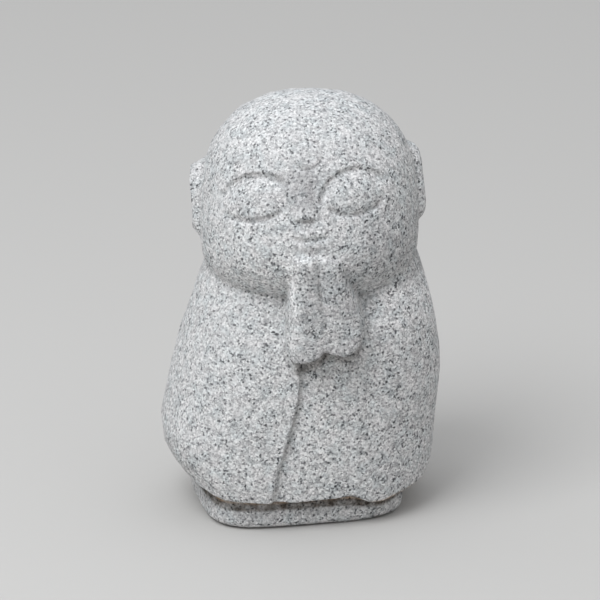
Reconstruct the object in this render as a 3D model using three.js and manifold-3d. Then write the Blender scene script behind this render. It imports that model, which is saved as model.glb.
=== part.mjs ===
// A stone jizo: a round-headed child monk in a long robe, hands pressed together under the chin,
// carved from one block of granite with a low foot left under the hem.
// Millimetres, +Z up, the front faces -Y, and the origin is the middle of the flat underside.
// Left and right are as seen from the front, so right is +X.
import * as THREE from "three";
import { mergeVertices } from "three/addons/utils/BufferGeometryUtils.js";
import Module from "manifold-3d";

const wasm = await Module();
wasm.setup();

// The foot that the figure stands on.
const footWidth = 120;
const footDepth = 101;
const footCorner = 4; // squareness of its plan, 2 is an ellipse
const footEdge = 6; // rounding of its lower edge
const footBury = 14; // how far it runs up into the robe

// The robe, from its hem to the collar that the head rests in.
const hemHeight = 17;
const hemLeftRise = 6; // how much higher the hem hangs round the left side
const hemFrontRise = 1.5; // and at the front, left of the notch
const hemEdge = 1.8; // rounding of the hem's lower edge
const hemWave = 0.7; // rise and fall of the hem
const hemNotch = 2.2; // rise of the hem where the right sleeve meets the panel
const hemDrop = { x: 38, half: 12, depth: 3.5 }; // of the right sleeve beside that notch
const robeWidth = 164;
const robeDepth = 117;
const robeCorner = 2.5;
const collarHeight = 150;
const shoulderRise = 5; // of the right shoulder over the left one
const neckHeight = 14; // closes the robe above the collar, inside the head

// The front panel of the robe, cut back between the two hanging sleeves.
const panelTopWidth = 31;
const panelHemWidth = 48;
const panelTopShift = 6; // to the right
const panelHemShift = -2; // to the left
const panelLeftCut = 5; // depth of the panel behind the left sleeve
const panelRightCut = 1.1; // and behind the right one, which lies closer to it

// The head, with its widest level at the cheeks.
const headWidth = 127;
const headDepth = 119;
const crownHeight = 73; // above the cheeks
const jawHeight = 50; // below the cheeks
const crownCorner = 2.5;
const jawCorner = 3.2;
const headPlanCorner = 2.2;
const cheekHeight = 177; // of the widest level above the ground
const headShift = new THREE.Vector2(7, -4); // of the head's middle over the foot
const headTurn = -12; // degrees, to the left
const headNod = -20; // degrees, negative looks up
const faceRoll = 3.5; // degrees, the face tips to the left on the upright skull

// The ears stand out from the sides of the head.
const earHeight = 48;
const earDepth = 22;
const earReach = 6; // beyond the head's half width
const earThickness = 26; // through the ear, most of it inside the head
const earRise = 14; // of the ear's middle above the cheeks
const earRoll = 5; // degrees, the left ear sits lower than the right one
const earBack = 2; // of the ear's middle behind the head's
const earCorner = 3; // squareness of the ear all round
const earDish = 2.2; // depth of the hollow in the ear
const earDishUp = 3; // of the hollow's middle over the ear's

// The hands, two mitten shapes pressed together with a seam between them.
const handHeight = 66.5;
const handTopWidth = 33;
const handBottomWidth = 48;
const handFront = 26; // from the hands' middle to the seam
const handBack = 17; // from the hands' middle to their buried back
const handBottom = 107.8; // above the ground
const handShift = new THREE.Vector2(8.5, -45); // of their middle over the foot
const handTurn = -10; // degrees, turned to the left like the head
const handRoll = 6; // degrees, the fingertips lean to the left
const handSeam = 1.5; // depth of the seam
const tipRounding = 4.5;
const tipDrop = 6; // of the fingertips' right corner
const heelRounding = 2.4;

// The hands' front from the seam outwards: a share of the half width, and the depth behind the front.
const handProfile = [
  [0, handSeam],
  [0.08, handSeam * 0.6],
  [0.2, 0.3],
  [0.45, 0],
  [0.7, 1.2],
  [0.86, 4],
  [0.96, 9],
  [1, 16],
];

// How much higher than their lowest point the hands end below, at a share of the half width. The
// right hand ends higher than the left one and has a round corner.
const heelProfile = [
  [-1, 5],
  [-0.86, 1.4],
  [-0.6, 0.9],
  [-0.2, 3.8],
  [-0.08, 7],
  [0.2, 4.4],
  [0.5, 2.7],
  [0.76, 6],
  [1, 13],
];

// The face, in the head's own frame: across from the nose, and up from the cheeks.
const faceShift = -3;
const leftEye = {
  brow: { across: -26, up: -3.2, radius: 25.9, from: -50, to: 38 }, // the ends in degrees from the top
  lash: { across: -28.8, up: 30.8, radius: 33.8, from: -27, to: 25 }, // and from the lowest point
};
const rightEye = {
  brow: { across: 31.7, up: 0.6, radius: 22.5, from: -88, to: 46 },
  lash: { across: 27.3, up: 22.2, radius: 25.4, from: -32, to: 42 },
};
const lashHeight = 8; // of a lash line's ends over its lowest point
const browCut = 2.2;
const lashCut = 2;
const browSlope = 3.2; // how far the cut under the brow slopes down into the lid
const lashSlope = 1.2;
const lineWidth = 0.9; // half width of a cut line
const lidRise = 1.7;
const lidRound = 7; // how far in from its rim a lid goes on rising
const noseTop = 18;
const noseFoot = -5;
const noseWidth = 12.5;
const noseRise = 2.5;
const noseGroove = 0.4; // under the nose
const mouthShift = 2.6;
const mouthUp = -16.4;
const mouthWidth = 21;
const mouthLift = 1.4; // of the mouth's corners over its middle
const mouthCut = 1.4;
const upperLip = { up: 4.4, half: 3.6, rise: 1.4 }; // from the mouth's line
const lowerLip = { up: -3.4, half: 2.6, rise: 0.84 };
const chinGroove = { up: -7, half: 1.6, cut: 0.7 }; // under the lower lip
const urnaShift = 3.6;
const urnaUp = 32.3;
const urnaRadius = 7.6;
const urnaRise = 0.6;
const urnaGroove = 0.4; // round the disc

// The longest edges of the head's triangles: near a cut line, beside one, and on plainer stretches.
const headEdges = { line: 2.2, beside: 3.6, face: 7, back: 8, underJaw: 12 };
const besideLine = 4.6; // how far from a line the shorter edges reach

const degrees = THREE.MathUtils.degToRad;
const smooth = THREE.MathUtils.smoothstep;
const hill = (distance, width) => Math.exp(-((distance / width) ** 2));
const power = (value, exponent) => Math.sign(value) * Math.abs(value) ** exponent;

// A smooth outline through pairs of [share of the height, share of the half size].
function outline(pairs) {
  const points = pairs.map(([share, size]) => new THREE.Vector2(share, size));
  const line = new THREE.SplineCurve(points).getSpacedPoints(160);
  return (share) => {
    const after = line.findIndex((point) => point.x >= share);
    if (after < 1) return (after ? line.at(-1) : line[0]).y;
    const [low, high] = [line[after - 1], line[after]];
    return THREE.MathUtils.mapLinear(share, low.x, high.x, low.y, high.y);
  };
}

// Closes a stack of rings, each the same number of points running round anticlockwise, into one skin.
function loft(rings) {
  const count = rings[0].length;
  const middle = (ring) =>
    ring.reduce((sum, point) => sum.add(point), new THREE.Vector3()).divideScalar(count);
  const points = [...rings.flat(), middle(rings[0]), middle(rings.at(-1))];
  const [bottom, top] = [points.length - 2, points.length - 1];
  const faces = [];
  for (let i = 0; i < count; i++) {
    const next = (i + 1) % count;
    faces.push(bottom, next, i);
    for (let level = 0; level < rings.length - 1; level++) {
      const [low, high] = [level * count, (level + 1) * count];
      faces.push(low + i, low + next, high + next, low + i, high + next, high + i);
    }
    const last = (rings.length - 1) * count;
    faces.push(last + i, last + next, top);
  }
  return new THREE.BufferGeometry().setFromPoints(points).setIndex(faces);
}

// Splits the triangles of a unit ball until, laid on the finished surface by place, no edge is longer
// than wanted at its middle.
function ball(place, wanted, rounds = 7) {
  const seed = new THREE.IcosahedronGeometry(1, 2);
  seed.deleteAttribute("normal");
  seed.deleteAttribute("uv");
  const merged = mergeVertices(seed);
  const position = merged.getAttribute("position");
  const directions = [];
  for (let i = 0; i < position.count; i++) {
    directions.push(new THREE.Vector3().fromBufferAttribute(position, i));
  }
  const placed = directions.map(place);
  let faces = [];
  for (let i = 0; i < merged.index.count; i += 3) faces.push([...merged.index.array.slice(i, i + 3)]);
  for (let round = 0; round < rounds; round++) {
    const known = new Map();
    const middle = (a, b) => {
      const key = a < b ? `${a} ${b}` : `${b} ${a}`;
      if (!known.has(key)) {
        const direction = directions[a].clone().add(directions[b]).normalize();
        const point = place(direction);
        const long = placed[a].distanceTo(placed[b]) > wanted(point);
        if (long) {
          directions.push(direction);
          placed.push(point);
        }
        known.set(key, long ? directions.length - 1 : undefined);
      }
      return known.get(key);
    };
    faces = faces.flatMap((face) => {
      const middles = face.map((a, i) => middle(a, face[(i + 1) % 3]));
      return splitFace(face, middles, placed);
    });
  }
  return new THREE.BufferGeometry().setFromPoints(placed).setIndex(faces.flat());
}

// One triangle cut at the middles of those of its edges that have one.
function splitFace([a, b, c], [ab, bc, ca], placed) {
  const cut = [ab, bc, ca].filter((middle) => middle !== undefined).length;
  if (cut === 0) return [[a, b, c]];
  if (cut === 3) return [[a, ab, ca], [ab, b, bc], [ca, bc, c], [ab, bc, ca]];
  if (ab === undefined) return splitFace([b, c, a], [bc, ca, ab], placed);
  if (cut === 1) return [[a, ab, c], [ab, b, c]];
  if (bc === undefined) return splitFace([c, a, b], [ca, ab, bc], placed);
  const corner = [ab, b, bc];
  return placed[a].distanceTo(placed[bc]) < placed[ab].distanceTo(placed[c])
    ? [corner, [a, ab, bc], [a, bc, c]]
    : [corner, [a, ab, c], [ab, bc, c]];
}

function solid(geometry) {
  const bare = new THREE.BufferGeometry().setAttribute("position", geometry.getAttribute("position"));
  bare.setIndex(geometry.index);
  const merged = mergeVertices(bare, 1e-4);
  return new wasm.Manifold(
    new wasm.Mesh({
      numProp: 3,
      vertProperties: merged.getAttribute("position").array,
      triVerts: new Uint32Array(merged.index.array),
    }),
  );
}

// The foot: a block with rounded corners and a rounded lower edge.
function foot() {
  const columns = 48;
  const ring = (inset, height) =>
    Array.from({ length: columns }, (_, i) => {
      const angle = (i / columns) * 2 * Math.PI;
      return new THREE.Vector3(
        (footWidth / 2 - inset) * power(Math.cos(angle), 2 / footCorner),
        (footDepth / 2 - inset) * power(Math.sin(angle), 2 / footCorner),
        height,
      );
    });
  const steps = 4;
  const rounding = Array.from({ length: steps + 1 }, (_, i) => {
    const angle = (i / steps) * (Math.PI / 2);
    return ring(footEdge * (1 - Math.sin(angle)), footEdge * (1 - Math.cos(angle)));
  });
  return loft([...rounding, ring(0, hemHeight + footBury)]);
}

// The reach of the robe's sides at each share of the height from the hem to the collar. The right
// shoulder is fuller than the middle of the front.
const robeSides = {
  right: outline([
    [0, 0.93],
    [0.05, 0.965],
    [0.13, 0.985],
    [0.27, 0.99],
    [0.52, 1.01],
    [0.76, 0.955],
    [1, 0.835],
  ]),
  left: outline([
    [0, 0.83],
    [0.04, 0.88],
    [0.1, 0.93],
    [0.18, 0.962],
    [0.3, 0.965],
    [0.6, 0.86],
    [0.83, 0.745],
    [1, 0.645],
  ]),
  front: outline([
    [0, 1.02],
    [0.06, 1.03],
    [0.25, 1.03],
    [0.5, 1.01],
    [0.7, 0.96],
    [0.86, 0.86],
    [1, 0.68],
  ]),
  frontRight: outline([
    [0, 1.02],
    [0.06, 1.03],
    [0.25, 1.03],
    [0.5, 1.03],
    [0.7, 1.03],
    [0.86, 1.02],
    [1, 0.97],
  ]),
  back: outline([
    [0, 0.93],
    [0.06, 0.97],
    [0.25, 1.02],
    [0.5, 0.99],
    [0.75, 0.88],
    [1, 0.7],
  ]),
};

// How far round each half of the robe its columns of points stand. The panel's columns come first,
// as shares of the panel's half width, with the share of the cut that each takes.
const panelColumns = [
  [0, 0.6],
  [0.3, 0.64],
  [0.6, 0.8],
  [0.86, 1],
  [0.93, 0.92],
  [0.98, 0.4],
  [1.04, 0.05],
];
const sleeveColumns = 23;

// One level of the robe, drawn in all round by inset for the hem's edge, or shrunk for the neck.
function robeRing(height, inset = 0, shrink = 1) {
  const share = (height - hemHeight) / (collarHeight - hemHeight);
  const within = THREE.MathUtils.clamp(share, 0, 1);
  const reach = (side, size) => (robeSides[side](within) * size * shrink) / 2 - inset;
  const rise = smooth(share, 0, 0.6);
  const panel = THREE.MathUtils.lerp(panelHemWidth, panelTopWidth, rise) / 2;
  const shift = THREE.MathUtils.lerp(panelHemShift, panelTopShift, rise);
  const nearHem = 1 - smooth(share, 0, 0.12);
  const aboveHem = 1 - smooth(share, 0, 0.3);
  const half = (side) => {
    const sign = side === "right" ? 1 : -1;
    const across = reach(side, robeWidth);
    const edge = Math.asin(Math.min(panel / across, 1) ** (robeCorner / 2));
    const angles = panelColumns.map(([place, depth]) => {
      const cut = THREE.MathUtils.lerp(panelLeftCut, panelRightCut, (1 + sign * place) / 2);
      return [place * edge, depth * cut * (1 - smooth(share, 0.72, 0.84))];
    });
    const start = panelColumns.at(-1)[0] * edge;
    for (let i = 1; i <= sleeveColumns; i++) {
      angles.push([start + ((Math.PI - start) * i) / sleeveColumns, 0]);
    }
    return angles.map(([angle, depth]) => {
      const shoulder = side === "right" ? smooth(angle, 0.15, 0.55) : 0;
      const forward = [reach("front", robeDepth), reach("frontRight", robeDepth)];
      const along =
        angle < Math.PI / 2 ? THREE.MathUtils.lerp(...forward, shoulder) : reach("back", robeDepth);
      const x = sign * across * power(Math.sin(angle), 2 / robeCorner) + shift * hill(angle, 1.2);
      const y = depth - along * power(Math.cos(angle), 2 / robeCorner);
      const notch = angle < Math.PI / 2 ? hemNotch * hill(x - panel - shift, 5) : 0;
      const wave = hemWave * Math.sin(5 * angle + sign) + notch;
      const front = hemFrontRise * (1 - smooth(x, panel - 8, panel + 8));
      const drop = hemDrop.depth * hill(x - hemDrop.x, hemDrop.half);
      const lift = hemLeftRise * smooth(-x, 50, 70) + (front - drop) * (1 - smooth(y, -10, 20));
      const raised = shoulderRise * smooth(x, 20, 60) * smooth(share, 0.6, 1);
      return new THREE.Vector3(x, y, height + wave * nearHem + lift * aboveHem + raised);
    });
  };
  const [right, left] = [half("right"), half("left")];
  return [...right, ...left.slice(1, -1).reverse()];
}

function robe() {
  const steps = 3;
  const edge = Array.from({ length: steps + 1 }, (_, i) => {
    const angle = (i / steps) * (Math.PI / 2);
    return robeRing(hemHeight + hemEdge * (1 - Math.cos(angle)), hemEdge * (1 - Math.sin(angle)));
  });
  const levels = 17;
  const first = hemHeight + hemEdge;
  const sides = Array.from({ length: levels }, (_, i) =>
    robeRing(first + ((collarHeight - first) * (i + 1)) / levels),
  );
  const neck = [0.3, 0.6, 0.85].map((share) =>
    robeRing(collarHeight + neckHeight * share, 0, Math.sqrt(1 - share ** 2)),
  );
  return loft([...edge, ...sides, ...neck]);
}

// Where a point of the head lies on the face: across it and up it.
function onFace(point) {
  const [sine, cosine] = [Math.sin(degrees(faceRoll)), Math.cos(degrees(faceRoll))];
  return {
    across: point.x * cosine + point.z * sine - faceShift,
    up: point.z * cosine - point.x * sine,
  };
}

// How far inside an arc's circle a point lies, and its angle round from the top (turned 1) or the
// lowest point (turned -1), growing to the right.
function fromArc(arc, across, up, turned) {
  const [x, z] = [across - arc.across, (up - arc.up) * turned];
  return { inside: arc.radius - Math.hypot(x, z), angle: THREE.MathUtils.radToDeg(Math.atan2(x, z)) };
}

// How deep an arc is cut at an angle round it, full in the middle and dying out at both ends.
function arcDepth({ from, to }, angle) {
  const fade = 12;
  return smooth(angle, from - fade, from + fade) * (1 - smooth(angle, to - fade, to + fade));
}

// The closed eye: a full lid between the brow's arc above and the lash line below.
function eyeRelief(across, up) {
  const eye = across < 0 ? leftEye : rightEye;
  const brow = fromArc(eye.brow, across, up, 1);
  const lash = fromArc(eye.lash, across, up, -1);
  const inside = Math.min(brow.inside, lash.inside);
  const nearBrow = smooth(lash.inside - brow.inside, -3, 3);
  const [browDepth, lashDepth] = [
    browCut * arcDepth(eye.brow, brow.angle),
    lashCut * arcDepth(eye.lash, lash.angle),
  ];
  const depth = THREE.MathUtils.lerp(lashDepth, browDepth, nearBrow);
  if (inside < 0) return -depth * hill(inside, lineWidth);
  const fall = THREE.MathUtils.lerp(lashSlope, browSlope, nearBrow);
  return lidRise * (1 - hill(inside, lidRound)) - depth * Math.exp(-inside / fall);
}

// The nose: a broad bridge that rises towards a flat-cut foot.
function noseRelief(across, up) {
  const share = (noseTop - up) / (noseTop - noseFoot);
  const half = (noseWidth / 2) * THREE.MathUtils.lerp(0.75, 1, THREE.MathUtils.clamp(share, 0, 1));
  const side = 1 - smooth(Math.abs(across), half * 0.6, half * 1.25);
  const cutFoot = 1 - smooth(share, 0.96, 1.05);
  const groove = noseGroove * hill(share - 1.06, 0.07);
  return side * (noseRise * smooth(share, 0, 1) * cutFoot - groove);
}

// The small mouth: two soft lips with the line between them turned up at the ends.
function mouthRelief(across, up) {
  const half = mouthWidth / 2;
  const away = Math.abs(across - mouthShift);
  const above = up - mouthUp - mouthLift * (away / half) ** 2;
  const lips = 1 - smooth(away, half * 0.5, half * 1.15);
  const line = 1 - smooth(away, half * 0.75, half);
  const full = [upperLip, lowerLip].map((lip) => lip.rise * hill(above - lip.up, lip.half));
  const under = chinGroove.cut * hill(above - chinGroove.up, chinGroove.half);
  return lips * (full[0] + full[1] - under) - line * mouthCut * hill(above, lineWidth);
}

// The small disc between the brows, with a fine groove round it.
function urnaRelief(across, up) {
  const out = Math.hypot(across - urnaShift, up - urnaUp) - urnaRadius;
  return urnaRise * (1 - smooth(out, -1.5, 0.5)) - urnaGroove * hill(out - 1, 1);
}

// All of the face's carving, outwards in millimetres.
function faceRelief(point) {
  if (point.y > 0) return 0;
  const { across, up } = onFace(point);
  const carved =
    eyeRelief(across, up) + noseRelief(across, up) + mouthRelief(across, up) + urnaRelief(across, up);
  return carved * smooth(-point.y / (headDepth / 2), 0.15, 0.55);
}

// How far a point of the face lies from what is carved on it, or from the rim of the nearest eye.
function fromCarving(point) {
  const { across, up } = onFace(point);
  const eye = across < 0 ? leftEye : rightEye;
  const brow = up > eye.brow.up ? fromArc(eye.brow, across, up, 1).inside : Infinity;
  const lowest = eye.lash.up - eye.lash.radius;
  const lash = up < lowest + lashHeight ? fromArc(eye.lash, across, up, -1).inside : Infinity;
  const middle = Math.abs(across) < noseWidth && up < noseTop && up > mouthUp + chinGroove.up;
  const urna = Math.hypot(across - urnaShift, up - urnaUp) - urnaRadius;
  return middle ? 0 : Math.min(Math.abs(brow), Math.abs(lash), Math.max(urna, 0));
}

// The bare head: rounder over the crown than under the cheeks.
function headPlace(direction) {
  const crown = direction.z > 0;
  const corner = crown ? crownCorner : jawCorner;
  const plan =
    (Math.abs(direction.x) / (headWidth / 2)) ** headPlanCorner +
    (Math.abs(direction.y) / (headDepth / 2)) ** headPlanCorner;
  const level = Math.abs(direction.z) / (crown ? crownHeight : jawHeight);
  const size = (plan ** (corner / headPlanCorner) + level ** corner) ** (-1 / corner);
  return direction.clone().multiplyScalar(size);
}

function head() {
  const place = (direction) => {
    const bare = headPlace(direction);
    return bare.addScaledVector(direction, faceRelief(bare));
  };
  const wanted = (point) => {
    if (point.z < -0.75 * jawHeight) return headEdges.underJaw;
    if (point.y > -0.25 * headDepth) return headEdges.back;
    const away = fromCarving(point);
    if (away < headEdges.line) return headEdges.line;
    return away < besideLine ? headEdges.beside : headEdges.face;
  };
  return ball(place, wanted);
}

// One ear: a tall rounded plate with a shallow hollow in its outer face.
function ear(side) {
  const radii = new THREE.Vector3(earThickness / 2, earDepth / 2, earHeight / 2);
  const middle = headWidth / 2 + earReach - earThickness / 2;
  const place = (direction) => {
    const [x, y, z] = [direction.x / radii.x, direction.y / radii.y, direction.z / radii.z];
    const far = [x, y, z].reduce((sum, value) => sum + Math.abs(value) ** earCorner, 0);
    const point = direction.clone().multiplyScalar(far ** (-1 / earCorner));
    const hollow = hill(Math.hypot(point.y / radii.y, (point.z - earDishUp) / radii.z), 0.55);
    if (side * point.x > 0) point.x -= side * earDish * hollow;
    return point.add(new THREE.Vector3(side * middle, earBack, earRise));
  };
  return ball(place, () => 5.5, 3);
}

// How far the lower end of the hands is raised at a share of their half width.
function heelLift(share) {
  const next = Math.max(1, heelProfile.findIndex(([place]) => place >= share));
  const [from, to] = [heelProfile[next - 1], heelProfile[next]];
  return THREE.MathUtils.mapLinear(share, from[0], to[0], from[1], to[1]);
}

// The pressed hands: rings of points from the wrists up to the rounded fingertips.
function hands() {
  const levels = 16;
  const rings = Array.from({ length: levels + 1 }, (_, i) => {
    const height = handHeight * (1 - Math.cos((Math.PI * i) / levels)) * 0.5;
    const tip = Math.max(0, 1 - (handHeight - height) / tipRounding);
    const heel = Math.max(0, 1 - height / heelRounding);
    const inset = tipRounding * (1 - Math.sqrt(1 - tip ** 2)) + heelRounding * (1 - Math.sqrt(1 - heel ** 2));
    const spread = 1 - smooth(height / handHeight, 0.1, 0.85);
    const half = THREE.MathUtils.lerp(handTopWidth, handBottomWidth, spread) / 2 - inset;
    const right = handProfile.map(([share, depth]) => [share * half, depth + inset - handFront]);
    right.push([half, handBack]);
    const left = right.slice(1).reverse().map(([x, y]) => [-x, y]);
    const lift = (x) => heelLift(x / half) * (1 - height / handHeight);
    const drop = (x) => tipDrop * smooth(x / half, 0, 1.2) * (height / handHeight) ** 3;
    return [...right, ...left].map(([x, y]) => new THREE.Vector3(x, y, height + lift(x) - drop(x)));
  });
  return loft(rings);
}

const turned = (shift, height, turn, nod, roll) =>
  new THREE.Matrix4()
    .makeTranslation(shift.x, shift.y, height)
    .multiply(new THREE.Matrix4().makeRotationZ(degrees(turn)))
    .multiply(new THREE.Matrix4().makeRotationX(degrees(nod)))
    .multiply(new THREE.Matrix4().makeRotationY(degrees(-roll)));
const skullPlace = turned(headShift, cheekHeight, headTurn, headNod, 0);
const earPlace = turned(headShift, cheekHeight, headTurn, headNod, earRoll);
const handPlace = turned(handShift, handBottom, handTurn, 0, handRoll);

const stone = [
  solid(foot()),
  solid(robe()),
  solid(head().applyMatrix4(skullPlace)),
  solid(ear(1).applyMatrix4(earPlace)),
  solid(ear(-1).applyMatrix4(earPlace)),
  solid(hands().applyMatrix4(handPlace)),
].reduce((all, piece) => all.add(piece));

const mesh = stone.getMesh();
const geometry = new THREE.BufferGeometry()
  .setAttribute("position", new THREE.BufferAttribute(mesh.vertProperties, 3))
  .setIndex(new THREE.BufferAttribute(mesh.triVerts, 1));
geometry.computeVertexNormals();

const granite = new THREE.MeshStandardMaterial({ color: 0xc3c5c6, roughness: 0.88, metalness: 0 });
const statue = new THREE.Mesh(geometry, granite);
statue.name = "jizo_statue";

const part = new THREE.Group();
part.add(statue);

export default part;
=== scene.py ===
# %% [markdown]
# # A small jizo carved from granite
# The real thing is one block of light grey granite, about 25 cm tall, roughed out with a point and
# then dressed all over with a bush hammer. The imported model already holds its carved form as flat
# triangles. This lesson turns a copy of that form into stone: first a skin of even small faces,
# then softened carving, then the marks of the hammer, and last the grains of the granite.

# %% Load the frame
import math

import bpy
import numpy as np
from mathutils import Matrix, Vector


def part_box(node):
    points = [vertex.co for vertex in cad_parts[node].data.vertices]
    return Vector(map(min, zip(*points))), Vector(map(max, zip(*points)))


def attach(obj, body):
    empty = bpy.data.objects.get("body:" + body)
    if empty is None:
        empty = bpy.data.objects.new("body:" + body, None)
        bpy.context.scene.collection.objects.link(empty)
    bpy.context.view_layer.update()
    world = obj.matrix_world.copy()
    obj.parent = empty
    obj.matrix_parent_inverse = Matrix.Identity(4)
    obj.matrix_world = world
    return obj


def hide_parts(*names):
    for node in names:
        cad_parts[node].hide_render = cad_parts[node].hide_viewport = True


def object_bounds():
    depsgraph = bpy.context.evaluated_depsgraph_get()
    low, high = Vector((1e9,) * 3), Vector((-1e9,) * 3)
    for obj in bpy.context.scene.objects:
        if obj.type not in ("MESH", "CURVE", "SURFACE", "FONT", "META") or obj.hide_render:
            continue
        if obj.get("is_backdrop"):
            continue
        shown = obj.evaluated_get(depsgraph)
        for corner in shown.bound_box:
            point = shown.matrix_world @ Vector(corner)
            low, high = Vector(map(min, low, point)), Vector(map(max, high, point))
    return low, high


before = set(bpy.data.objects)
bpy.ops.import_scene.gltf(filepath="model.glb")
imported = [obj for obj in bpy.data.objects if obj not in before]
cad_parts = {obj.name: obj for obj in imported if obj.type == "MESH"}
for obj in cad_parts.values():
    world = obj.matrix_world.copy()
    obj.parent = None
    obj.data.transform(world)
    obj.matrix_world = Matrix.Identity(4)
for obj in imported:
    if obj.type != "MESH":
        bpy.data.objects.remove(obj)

MM = 0.001
cad_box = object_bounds()
low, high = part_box("jizo_statue")
height = high.z - low.z
print("the carved block is", round(height / MM), "mm tall")

# %% [markdown]
# ## The camera
# The photograph looks down on the figure by about 20 degrees, from a little to its own right, and
# from far enough away that the lines hardly converge. So the camera stands well back with a long
# lens. Its aim is a point inside the robe, a little below the middle of the figure.

# %% Set up the camera
camera_turn = math.radians(-12)
camera_tilt = math.radians(20)
camera_distance = 2.6
frame_width = 0.35
sensor_width = 36
aim_shift = 2.3 * MM
aim_height = 123 * MM

aim = Vector((aim_shift * math.cos(camera_turn), aim_shift * math.sin(camera_turn), aim_height))
towards_camera = Vector((
    math.sin(camera_turn) * math.cos(camera_tilt),
    -math.cos(camera_turn) * math.cos(camera_tilt),
    math.sin(camera_tilt),
))
camera = bpy.data.objects.new("camera", bpy.data.cameras.new("camera"))
bpy.context.scene.collection.objects.link(camera)
camera.location = aim + towards_camera * camera_distance
camera.rotation_euler = (-towards_camera).to_track_quat("-Z", "Y").to_euler()
camera.data.sensor_width = sensor_width
camera.data.lens = sensor_width * camera_distance / frame_width
bpy.context.scene.camera = camera
print("the lens is", round(camera.data.lens), "mm")

# %% [markdown]
# ## A copy of the block to work on
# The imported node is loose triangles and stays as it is. A copy of its mesh is merged where corners
# meet, so that it becomes one closed skin. A voxel remesh then lays small even faces all over it,
# as a sculptor does before the fine work. There are far too many of them for the finished piece,
# and most are taken away again at the end, where nothing fine was carved.

# %% Copy, merge and remesh
weld_reach = 0.01 * MM
skin_size = 0.8 * MM


def select_only(obj):
    bpy.ops.object.select_all(action="DESELECT")
    obj.select_set(True)
    bpy.context.view_layer.objects.active = obj


def apply_modifier(obj, kind, **settings):
    select_only(obj)
    modifier = obj.modifiers.new(kind.lower(), kind)
    for name, value in settings.items():
        setattr(modifier, name, value)
    bpy.ops.object.modifier_apply(modifier=modifier.name)


block_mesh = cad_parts["jizo_statue"].data.copy()
block_mesh.materials.clear()
stone = bpy.data.objects.new("carved_stone", block_mesh)
bpy.context.scene.collection.objects.link(stone)
select_only(stone)
bpy.ops.object.mode_set(mode="EDIT")
bpy.ops.mesh.select_all(action="SELECT")
bpy.ops.mesh.remove_doubles(threshold=weld_reach)
bpy.ops.object.mode_set(mode="OBJECT")
apply_modifier(stone, "REMESH", mode="VOXEL", voxel_size=skin_size, adaptivity=0)
print("the skin has", len(stone.data.polygons), "faces")

# %% [markdown]
# ## Softened carving
# Hammered stone has no knife-sharp edges: a mason's tool and years outdoors round every one by
# about a millimetre. Smooth takes the flat triangles out of the skin. The hem is the crispest edge
# of the figure, so only a little of it is smoothed. The broad sides of the robe and the back of the
# head have the largest triangles and no carving, so they are smoothed much longer. Both are chosen
# by place, as vertex groups. Places are in millimetres: x to the right, y to the back and z up.

# %% Smooth the skin
hem_rounds = 2
carving_rounds = 5
broad_rounds = 90


def read_places(obj):
    """Each vertex's place in millimetres, one row each."""
    places = np.empty(len(obj.data.vertices) * 3)
    obj.data.vertices.foreach_get("co", places)
    return places.reshape(-1, 3) / MM


def ramp(value, start, end):
    """A soft step from 0 at the start to 1 at the end, whichever of the two is higher."""
    share = np.clip((value - start) / (end - start), 0, 1)
    return share * share * (3 - 2 * share)


def paint_group(name, weights):
    group = stone.vertex_groups.new(name=name)
    for index in np.flatnonzero(weights > 0.01):
        group.add([int(index)], float(weights[index]), "REPLACE")
    print(name, "holds", int((weights > 0.01).sum()), "vertices")


def smooth(obj, rounds, group=""):
    apply_modifier(obj, "SMOOTH", factor=0.5, iterations=rounds, vertex_group=group)


x, y, z = read_places(stone).T
robe_sides = ramp(z, 26, 32) * ramp(z, 134, 122)
robe_sides *= np.maximum.reduce([ramp(x, 40, 48), ramp(x, -36, -44), ramp(y, -20, 0)])
back_of_head = ramp(z, 166, 176) * ramp(y, 20, 32)
crown = ramp(z, 224, 234)
hem_edge = ramp(z, 9, 12) * ramp(z, 31, 25)
paint_group("broad", np.maximum.reduce([robe_sides, back_of_head, crown]))
paint_group("all but the hem", 1 - hem_edge)
smooth(stone, hem_rounds)
smooth(stone, carving_rounds, "all but the hem")
smooth(stone, broad_rounds, "broad")

# %% [markdown]
# ## Frames for the face and the hands
# The face is turned to the side, tipped back and rolled a little, and the hands lean. Their lines
# and stains are easier to place in a frame of their own, in which across, deep and up follow the
# face or the palms. So every vertex's place can be turned into either frame.

# %% Lay the frames
cheeks = Vector((7, -4, 177))
wrists = Vector((8.5, -45, 107.8))
nose_line = -3
front_of_face = -20


def leaning_frame(origin, turn, tip, roll):
    """A frame at this origin, turned by these degrees."""
    return (
        Matrix.Translation(origin)
        @ Matrix.Rotation(math.radians(turn), 4, "Z")
        @ Matrix.Rotation(math.radians(tip), 4, "X")
        @ Matrix.Rotation(math.radians(roll), 4, "Y")
    )


def turned_into(own_frame):
    """The places of all vertices in that frame: across, deep and up."""
    turn = np.array(own_frame.inverted())
    return (read_places(stone) @ turn[:3, :3].T + turn[:3, 3]).T


def on_face():
    """The places in the frame of the face, with across counted from the nose."""
    across, deep, up = turned_into(face)
    return across - nose_line, deep, up


face = leaning_frame(cheeks, turn=-12, tip=-20, roll=-3.5)
palms = leaning_frame(wrists, turn=-10, tip=0, roll=-6)
facing = face.to_3x3() @ Vector((0, -1, 0))
print("the face looks along", [round(share, 2) for share in facing])

# %% [markdown]
# ## Fine lines
# The closed eyes, the mouth, the foot of the nose, the ring between the brows and the seam of the
# hands are drawn with a narrow point after the big forms are done. Each line is a vertex group,
# strongest in the middle of the line, and a Displace modifier presses the group in. The right eye's
# lines are fainter than the left's. The chin has no line, and is rubbed smooth first.

# %% Rub the chin smooth
chin_rounds = 30


def spot(across, up, middle, reach):
    """A soft oval spot on the face, 1 in its middle."""
    side, rise = (across - middle[0]) / reach[0], (up - middle[1]) / reach[1]
    return np.exp(-(side**2) - rise**2)


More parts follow.
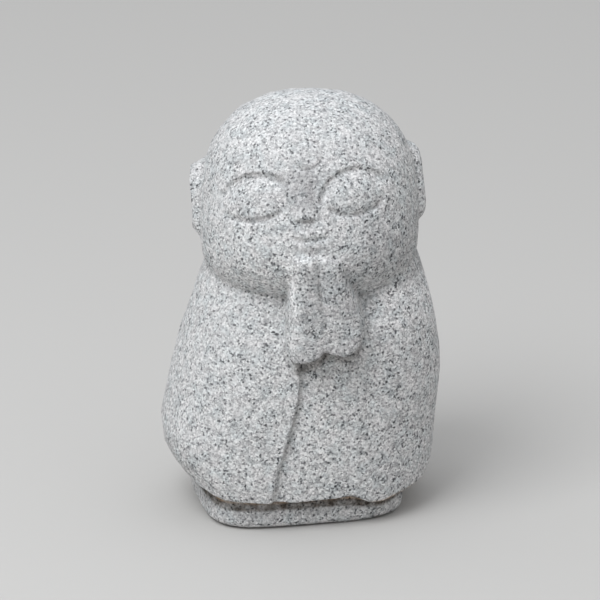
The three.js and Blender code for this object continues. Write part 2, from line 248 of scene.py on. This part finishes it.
across, deep, up = on_face()
paint_group("chin", spot(across, up, (2.6, -23.5), (13, 3.5)) * (deep < front_of_face))
smooth(stone, chin_rounds, "chin")

# %% Draw the lines
right_lash_share = 0.65
right_brow_share = 0.45
fading_degrees = 8


def arc_line(centre, radius, way, ends, width):
    """Weights along a circle's arc. way is 1 for its top and -1 for its bottom."""
    across, deep, up = on_face()
    side, rise = across - centre[0], (up - centre[1]) * way
    angle = np.degrees(np.arctan2(side, rise))
    near = np.exp(-(((np.hypot(side, rise) - radius) / width) ** 2)) * (deep < front_of_face)
    near *= ramp(angle, ends[0] - fading_degrees, ends[0] + fading_degrees)
    return near * ramp(angle, ends[1] + fading_degrees, ends[1] - fading_degrees)


def level_line(middle, height, half, lift, width):
    """Weights along a short level line, whose ends are lifted."""
    across, deep, up = on_face()
    away = (across - middle) / half
    near = np.exp(-(((up - height - lift * away**2) / width) ** 2))
    return near * ramp(np.abs(away), 1.1, 0.8) * (deep < front_of_face)


def press_in(name, weights, depth):
    paint_group(name, weights)
    apply_modifier(stone, "DISPLACE", strength=-depth, mid_level=0, vertex_group=name)


left_lash = arc_line((-28.8, 30.8), radius=33.8, way=-1, ends=(-29, 26), width=0.9)
right_lash = arc_line((27.3, 22.2), radius=25.4, way=-1, ends=(-34, 42), width=0.8)
left_brow = arc_line((-26, -3.2), radius=25.9, way=1, ends=(-50, 38), width=1.5)
right_brow = arc_line((31.7, 0.6), radius=22.5, way=1, ends=(-86, 46), width=1.3)
mouth = level_line(2.6, height=-16.4, half=10.5, lift=1.4, width=0.8)
nose_foot = level_line(-0.3, height=-6, half=7, lift=0, width=0.8)
forehead_ring = arc_line((3.6, 32.3), radius=8.5, way=1, ends=(-190, 190), width=0.9)
across, deep, up = turned_into(palms)
seam = np.exp(-((across / 0.9) ** 2)) * ramp(deep, -18, -22) * ramp(up, 24, 40) * ramp(up, 65, 60)
press_in("lash lines", left_lash + right_lash_share * right_lash, 1.1 * MM)
press_in("brow lines", left_brow + right_brow_share * right_brow, 0.9 * MM)
press_in("mouth and foot of the nose", mouth + nose_foot, 0.5 * MM)
press_in("forehead ring", forehead_ring, 0.6 * MM)
press_in("seam of the hands", seam, 0.7 * MM)

# %% [markdown]
# ## Hollows
# The hollows of the carving are painted darker, as dust and as painted shade, and its edges are
# painted lighter, as wear and as a painted highlight. To find both, a copy of the stone is smoothed
# until the carving is gone. Where the real skin lies under the smooth one there is a hollow, and where
# it stands over it there is an edge. Hollows that face left, towards the light, and those on the
# shoulders of the robe, which face up, keep less of the painted shade. The difference is kept on the
# mesh as an attribute that the material can read.

# %% Measure the hollows
melting_rounds = 60
share_cleared_where_lit = 0.8


def read_normals(obj):
    """The direction that each vertex faces, one row each."""
    normals = np.empty(len(obj.data.vertices) * 3)
    obj.data.vertices.foreach_get("normal", normals)
    return normals.reshape(-1, 3)


def paint_attribute(name, values):
    attribute = stone.data.attributes.new(name, "FLOAT", "POINT")
    attribute.data.foreach_set("value", values.astype(np.float32))
    print(name, "is painted from", round(float(values.min()), 1), "to", round(float(values.max()), 1))


melted = stone.copy()
melted.data = stone.data.copy()
bpy.context.scene.collection.objects.link(melted)
smooth(melted, melting_rounds)
normals = read_normals(stone)
depth = ((read_places(melted) - read_places(stone)) * normals).sum(axis=1)
bpy.data.objects.remove(melted)
z = read_places(stone)[:, 2]
shoulders = ramp(z, 108, 120) * (z < 162)
# Hollows that face the light, to the left or up on the shoulders, get less painted shade.
facing_the_light = np.maximum(ramp(normals[:, 0], -0.5, -0.8), ramp(normals[:, 2], 0.1, 0.35) * shoulders)
depth *= np.where(depth > 0, 1 - share_cleared_where_lit * facing_the_light, 1)
paint_attribute("hollow", depth)

# %% [markdown]
# ## Hammer marks
# A bush hammer leaves a skin of shallow dents a few millimetres apart. Two Displace modifiers make
# them: slow clouds for the unevenness of the hand, and fine ones for the dents. Both push mostly
# inwards, so the figure doesn't outgrow its block.

# %% Press in the hammer marks
def dent(name, size, depth, middle):
    texture = bpy.data.textures.new(name, "CLOUDS")
    texture.noise_scale = size
    texture.noise_depth = 1
    apply_modifier(stone, "DISPLACE", texture=texture, texture_coords="LOCAL",
                   strength=depth, mid_level=middle)


undented = read_places(stone)
dent("uneven hand", size=24 * MM, depth=0.7 * MM, middle=0.85)
dent("hammer dents", size=3.2 * MM, depth=0.35 * MM, middle=0.8)
moved = np.linalg.norm(read_places(stone) - undented, axis=1)
print("the dents move the skin by up to", round(float(moved.max()), 2), "mm")

# %% [markdown]
# ## Fewer faces
# The finished piece may not have as many faces as the skin. Decimate merges the ones that matter
# least, and a vertex group keeps the front of the figure, with its carving, the finest. The sole
# of the foot is then pressed flat again, because the figure stands on it.

# %% Thin out the skin and flatten the sole
most_triangles = 196000
sole_height = 0.5 * MM

y = read_places(stone)[:, 1]
paint_group("plain", 0.2 + 0.8 * ramp(y, -30, 10))
triangles = sum(len(polygon.vertices) - 2 for polygon in stone.data.polygons)
apply_modifier(stone, "DECIMATE", ratio=most_triangles / triangles, use_collapse_triangulate=True,
               vertex_group="plain", vertex_group_factor=1)

for vertex in stone.data.vertices:
    vertex.select = vertex.co.z < sole_height
for kind in (stone.data.edges, stone.data.polygons):
    kind.foreach_set("select", [False] * len(kind))
bpy.ops.object.mode_set(mode="EDIT")
bpy.ops.mesh.select_mode(type="VERT")
bpy.ops.transform.resize(value=(1, 1, 0), center_override=(0, 0, 0))
bpy.ops.object.mode_set(mode="OBJECT")
bpy.ops.object.shade_smooth()
print("the stone has", len(stone.data.polygons), "triangles")

# %% [markdown]
# ## Painted light
# On the side that faces the light the grains are painted flatter, pulled towards an even grey.
# Painted light lifts the right shoulder, where the head's shade falls, and a painted highlight lifts
# the top and the left edge of the left hand. Both are painted by place and direction, as attributes
# for the material. The hem is where the robe ends: it rises round the left side and hangs lowest in
# front of the right one.

# %% Paint the evened grains and the painted light
sun = np.array((-0.45, -0.25, 0.86))
hem_height = 16.5
hem_rise = 6
hem_dip = 3
dip_middle = 38
dip_reach = 12

x, y, z = read_places(stone).T
hem = hem_height + hem_rise * ramp(x, -50, -70)
hem -= hem_dip * np.exp(-(((x - dip_middle) / dip_reach) ** 2)) * ramp(y, 20, -10)
shoulder = ramp(x, 24, 38) * ramp(z, 150, 141) * (0.4 + 0.6 * ramp(z, 102, 134)) * (z > hem)
across, deep, up = turned_into(palms)
top_of_left_hand = ramp(up, 60, 63.5) * ramp(across, 6, -2)
edge_of_left_hand = ramp(across, -13.5, -15.5) * ramp(up, 30, 40)
tips = np.maximum(top_of_left_hand, edge_of_left_hand)
tips *= ramp(np.abs(across), 18.5, 17) * ramp(deep, -8, -14) * ramp(up, 68, 66.5)
# Painted: the grains are evened towards grey where the surface faces the light.
paint_attribute("evened_where_lit", ramp(read_normals(stone) @ sun, 0.2, 0.95))
# Painted light on the right shoulder and a painted highlight on the top and left edge of the left hand.
paint_attribute("painted_light", np.maximum(shoulder, 0.5 * tips))

# %% [markdown]
# ## Painted shade and dirt
# Painted shade darkens the right cheek, the chin, the lower end of the hands, which faces down, and
# the foot under the overhanging hem, and the stone is painted darker between the brows. Dirt darkens
# the hands, which everyone touches. A dark brown band is painted under the hem and under the hands,
# as painted shadow with dirt in it, and rust-brown dirt clings to the lower edge of the hem. The heel
# of the hands ends in a wavy line, so its height is read from a few points across it.

# %% Paint the shade and the dirt
half_heel = 23
heel_across = (-1, -0.86, -0.6, -0.2, -0.08, 0.2, 0.5, 0.76, 1)
heel_height = (5, 1.4, 0.9, 3.8, 7, 4.4, 2.7, 6, 13)

across, deep, up = turned_into(palms)
heel = np.interp(across / half_heel, heel_across, heel_height)
above_heel = up - heel
front = ramp(np.abs(across), 22, 17) * ramp(deep, -2, -8)
under_hands = ramp(above_heel, -11, -7.5) * (up < heel) * front * (0.44 + 0.22 * ramp(across, 4, -2))
heel_shade = ramp(above_heel, 7, 0) * (up >= heel) * front
hands = ramp(np.abs(x - 10), 24, 18) * ramp(y, -52, -60) * ramp(z, 104, 112) * ramp(z, 176, 160)
above_hem = z - hem
under_hem = ramp(above_hem, 0.5, -0.5)
across, deep, up = on_face()
brows = spot(across, up, (0, 13), (11, 15)) * (deep < front_of_face)
chin = spot(across, up, (2, -24), (9, 4)) * (deep < front_of_face)
cheek = ramp(across, 10, 45) * ramp(up, 18, -25)
# Painted shade on the cheek, chin, heel of the hands and foot, darker between the brows, and dirt on the
# hands.
paint_attribute("shade_and_dirt", np.maximum.reduce([
    0.65 * brows, 0.4 * cheek, 0.4 * chin, 0.35 * hands * (1 - tips), 0.6 * heel_shade,
    0.4 * ramp(above_hem, -14, -5) * under_hem,
]))
# A painted shadow with dirt in it: a dark band under the hem's overhang and under the hands.
paint_attribute("crevice_shadow_and_dirt", np.maximum(ramp(above_hem, -5.2, -3.4) * under_hem, under_hands))
paint_attribute("hem dirt", np.exp(-(((above_hem - 0.6) / 1.2) ** 2)) * ramp(y, 20, -10))

# %% [markdown]
# ## Mineral grains
# Granite is a tight pack of grains one or two millimetres across: white feldspar, glassy grey
# quartz and flakes of black mica. A Voronoi texture is made of such cells, and each cell carries
# its own random colour. One ramp turns its red into quartz and feldspar, and the cells with the
# least blue are flakes of mica. The place is first shaken by a noise, which makes the straight cell
# edges ragged, and cells of half the size are mixed in for the crushed grains between the others.
# Real granite is never even: a slow noise lets the mica crowd together in some places and tints the
# stone a little, cooler here and warmer there. All of it is one node group, which another stone
# could use at another size of grain.

# %% Open a node group
grains = bpy.data.node_groups.new("mineral grains", "ShaderNodeTree")
for label, way, kind in (
    ("Place", "INPUT", "NodeSocketVector"),
    ("Grains a metre", "INPUT", "NodeSocketFloat"),
    ("Colour", "OUTPUT", "NodeSocketColor"),
    ("Height", "OUTPUT", "NodeSocketFloat"),
):
    grains.interface.new_socket(label, in_out=way, socket_type=kind)
group_input = grains.nodes.new("NodeGroupInput")
group_output = grains.nodes.new("NodeGroupOutput")
print("the group has", len(grains.interface.items_tree), "sockets")

# %% Grow the cells
shakes_a_metre = 1400
ragged_edge = 1.2 * MM
crushed_fineness = 2.1
crushed_share = 0.38


def add(tree, kind, inputs, **settings):
    """A new node, whose inputs get a value or a link from another node's output."""
    node = tree.nodes.new(kind)
    for name, value in settings.items():
        setattr(node, name, value)
    for name, value in inputs.items():
        if isinstance(value, bpy.types.NodeSocket):
            tree.links.new(value, node.inputs[name])
        else:
            node.inputs[name].default_value = value
    return node


grain_place = group_input.outputs["Place"]
grains_a_metre = group_input.outputs["Grains a metre"]
shake = add(grains, "ShaderNodeTexNoise", {"Vector": grain_place, "Scale": shakes_a_metre, "Detail": 2})
both_ways = add(grains, "ShaderNodeVectorMath", {0: shake.outputs["Color"], 1: (0.5, 0.5, 0.5)},
                operation="SUBTRACT")
offset = add(grains, "ShaderNodeVectorMath", {0: both_ways.outputs[0], "Scale": ragged_edge},
             operation="SCALE")
shaken = add(grains, "ShaderNodeVectorMath", {0: grain_place, 1: offset.outputs[0]}, operation="ADD")
finer = add(grains, "ShaderNodeMath", {0: grains_a_metre, 1: crushed_fineness}, operation="MULTIPLY")


def random_cells(scale):
    """Voronoi cells, each with random numbers as its red, green and blue."""
    cells = add(grains, "ShaderNodeTexVoronoi", {"Vector": shaken.outputs[0], "Scale": scale})
    return add(grains, "ShaderNodeSeparateColor", {"Color": cells.outputs["Color"]})


whole = random_cells(grains_a_metre)
crushed = random_cells(finer.outputs["Value"])
mixed = add(grains, "ShaderNodeMix", {
    "Factor": crushed_share, "A": whole.outputs["Red"], "B": crushed.outputs["Red"],
}, data_type="FLOAT")
print("the cells take", len(grains.nodes), "nodes")

# %% Colour the minerals
crowds_a_metre = 150
crowding = 0.05


def rescale(tree, value, start, end, least, most):
    """The value, with its range from start to end stretched to the one from least to most."""
    return add(tree, "ShaderNodeMapRange", {
        "Value": value, "From Min": start, "From Max": end, "To Min": least, "To Max": most,
    }).outputs["Result"]


def colour_ramp(tree, value, stops):
    """Colours for a value. Each stop is a place on the ramp and its colour."""
    node = add(tree, "ShaderNodeValToRGB", {"Fac": value})
    while len(node.color_ramp.elements) < len(stops):
        node.color_ramp.elements.new(1)
    for element, (place, colour) in zip(node.color_ramp.elements, stops):
        element.position = place
        element.color = (*colour, 1)
    return node.outputs["Color"]


def blend(tree, base, colour, mask, way):
    """The base colour, mixed with or multiplied by another one as far as the mask is full."""
    return add(tree, "ShaderNodeMix", {"Factor": mask, "A": base, "B": colour},
               data_type="RGBA", blend_type=way).outputs["Result"]


minerals = colour_ramp(grains, mixed.outputs["Result"], [
    (0.08, (0.24, 0.245, 0.25)),
    (0.22, (0.35, 0.355, 0.36)),
    (0.37, (0.49, 0.49, 0.50)),
    (0.54, (0.65, 0.655, 0.66)),
    (0.80, (0.81, 0.815, 0.82)),
    (0.92, (0.97, 0.97, 0.97)),
])
uneven = add(grains, "ShaderNodeTexNoise", {"Vector": grain_place, "Scale": crowds_a_metre, "Detail": 2})
crowd = rescale(grains, uneven.outputs["Fac"], 0.3, 0.7, -crowding, crowding)
crowded = add(grains, "ShaderNodeMath", {0: whole.outputs["Blue"], 1: crowd}, operation="ADD")
mica = colour_ramp(grains, crowded.outputs["Value"], [
    (0.00, (0.11, 0.11, 0.12)),
    (0.06, (0.28, 0.28, 0.29)),
    (0.11, (1.00, 1.00, 1.00)),
])
tints = colour_ramp(grains, uneven.outputs["Fac"], [
    (0.32, (0.87, 0.90, 0.905)),
    (0.50, (0.97, 0.97, 0.965)),
    (0.68, (1.00, 0.98, 0.975)),
])
flaked = blend(grains, minerals, mica, 1, "MULTIPLY")
tinted = blend(grains, flaked, tints, 1, "MULTIPLY")
grains.links.new(tinted, group_output.inputs["Colour"])
grains.links.new(whole.outputs["Green"], group_output.inputs["Height"])
print("the whole group has", len(grains.nodes), "nodes")

# %% [markdown]
# ## The granite of the figure
# The grains get their size, and coats are laid over their colour one after another: the grains evened
# where they face the light, the painted light on the shoulder and the fingertips, the edges painted
# lighter, the painted shade with the dirt, the painted shadow and dirt under the hem and the hands,
# the dirt on the hem, and last the dust and painted shade in the hollows. Each coat has a mask, a tint
# and a way to blend. A noise breaks the painted coats into patches, so that none of them is even. A
# faint Bump on the grains gives the dressed stone its rough feel.

# %% Prepare the grains and the coats
figure_grains_a_metre = 930
patches_a_metre = 160

granite = bpy.data.materials.new("hammered_granite")
granite.use_nodes = True
tree = granite.node_tree
object_place = add(tree, "ShaderNodeTexCoord", {}).outputs["Object"]
figure_grains = add(tree, "ShaderNodeGroup", {
    "Place": object_place, "Grains a metre": figure_grains_a_metre,
}, node_tree=grains)


def painted(name):
    """An attribute that was painted on the stone."""
    return add(tree, "ShaderNodeAttribute", {},
               attribute_type="GEOMETRY", attribute_name=name).outputs["Fac"]


def in_patches(name, strongest):
    """A painted attribute, broken up by a noise."""
    noise = add(tree, "ShaderNodeTexNoise", {
        "Vector": object_place, "Scale": patches_a_metre, "Detail": 3,
    })
    patches = rescale(tree, noise.outputs["Fac"], 0.35, 0.6, 0.5 * strongest, strongest)
    return add(tree, "ShaderNodeMath", {0: painted(name), 1: patches},
               operation="MULTIPLY").outputs["Value"]


print("granite starts with", len(tree.nodes), "nodes")

# %% Lay the coats over the grains
grain_relief = 0.35 * MM

# Edges are painted lighter, as wear and a painted highlight, and hollows darker, as dust and painted
# shade.
rubbed_and_lit_edges = rescale(tree, painted("hollow"), -0.12, -0.8, 0, 0.45)
dust_and_shade_in_hollows = rescale(tree, painted("hollow"), 0.1, 2.1, 0, 1)
colour = figure_grains.outputs["Colour"]
# Coats in order: grains evened where lit, painted light, painted edge highlights with wear, painted
# shade with dirt, painted shadow with dirt under hem and hands, hem dirt, dust with painted shade in the
# hollows.
for mask, coat, way in (
    (in_patches("evened_where_lit", 0.25), (0.47, 0.475, 0.48), "MIX"),
    (in_patches("painted_light", 1), (1.6, 1.6, 1.6), "MULTIPLY"),
    (rubbed_and_lit_edges, (1.22, 1.23, 1.24), "MULTIPLY"),
    (in_patches("shade_and_dirt", 0.95), (0.35, 0.34, 0.35), "MULTIPLY"),
    (in_patches("crevice_shadow_and_dirt", 1), (0.20, 0.17, 0.14), "MULTIPLY"),
    (in_patches("hem dirt", 1.1), (0.50, 0.36, 0.24), "MULTIPLY"),
    (dust_and_shade_in_hollows, (0.22, 0.21, 0.20), "MULTIPLY"),
):
    colour = blend(tree, colour, (*coat, 1), mask, way)
relief = add(tree, "ShaderNodeBump", {
    "Distance": grain_relief, "Strength": 0.8, "Height": figure_grains.outputs["Height"],
})
surface = tree.nodes["Principled BSDF"]
surface.inputs["Roughness"].default_value = 0.85
surface.inputs["Specular IOR Level"].default_value = 0.3
tree.links.new(colour, surface.inputs["Base Color"])
tree.links.new(relief.outputs["Normal"], surface.inputs["Normal"])
stone.data.materials.append(granite)
print("granite has", len(tree.nodes), "nodes")

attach(stone, "root")
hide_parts("jizo_statue")

# %% [markdown]
# ## Floor and light
# The floor is plain and pale. The light is that of an open sky: one wide soft source above and to
# the left, and a surround that fills the shadows, dim and warm below and bright overhead.

# %% Lay the floor
floor_size = 6

bpy.ops.object.select_all(action="DESELECT")
bpy.ops.mesh.primitive_plane_add(size=floor_size)
floor = bpy.context.active_object
floor.name = "floor"
paving = bpy.data.materials.new("pale_floor")
paving.use_nodes = True
matt = paving.node_tree.nodes["Principled BSDF"]
matt.inputs["Base Color"].default_value = (0.5, 0.49, 0.475, 1)
matt.inputs["Roughness"].default_value = 0.9
floor.data.materials.append(paving)
floor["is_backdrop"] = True
print("the floor is", floor_size, "m wide")

# %% Hang the light
sky_light = bpy.data.lights.new("sky_light", "AREA")
sky_light.size = 1.3
sky_light.energy = 34
sky_light.color = (0.96, 0.98, 1)
light_holder = bpy.data.objects.new("sky_light", sky_light)
bpy.context.scene.collection.objects.link(light_holder)
light_holder.location = (-1.0, -0.8, 1.9)
to_the_figure = Vector((0, 0, height / 2)) - light_holder.location
light_holder.rotation_euler = to_the_figure.to_track_quat("-Z", "Y").to_euler()
print("the light hangs", round(to_the_figure.length, 1), "m from the figure")

# %% Surround the figure with the sky
surround = bpy.data.worlds.new("pale_surround")
surround.use_nodes = True
sky = surround.node_tree
direction = add(sky, "ShaderNodeTexCoord", {}).outputs["Generated"]
upward = add(sky, "ShaderNodeSeparateXYZ", {"Vector": direction}).outputs["Z"]
glow = colour_ramp(sky, upward, [(0, (0.33, 0.315, 0.295)), (1, (0.97, 1.0, 1.04))])
sky.links.new(glow, sky.nodes["Background"].inputs["Color"])
bpy.context.scene.world = surround
bpy.context.scene.view_settings.view_transform = "Standard"
print("the surround has", len(sky.nodes), "nodes")

# %% [markdown]
# ## Check the size
# The stone must stay inside the block that it was cut from, so both boxes are written down.

# %% Write the sizes and finish
visual_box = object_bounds()
for axis, cad_low, cad_high, seen_low, seen_high in zip("xyz", *cad_box, *visual_box):
    below, above = round((seen_low - cad_low) / MM, 2), round((cad_high - seen_high) / MM, 2)
    print(axis, "room to spare:", below, "and", above, "mm")
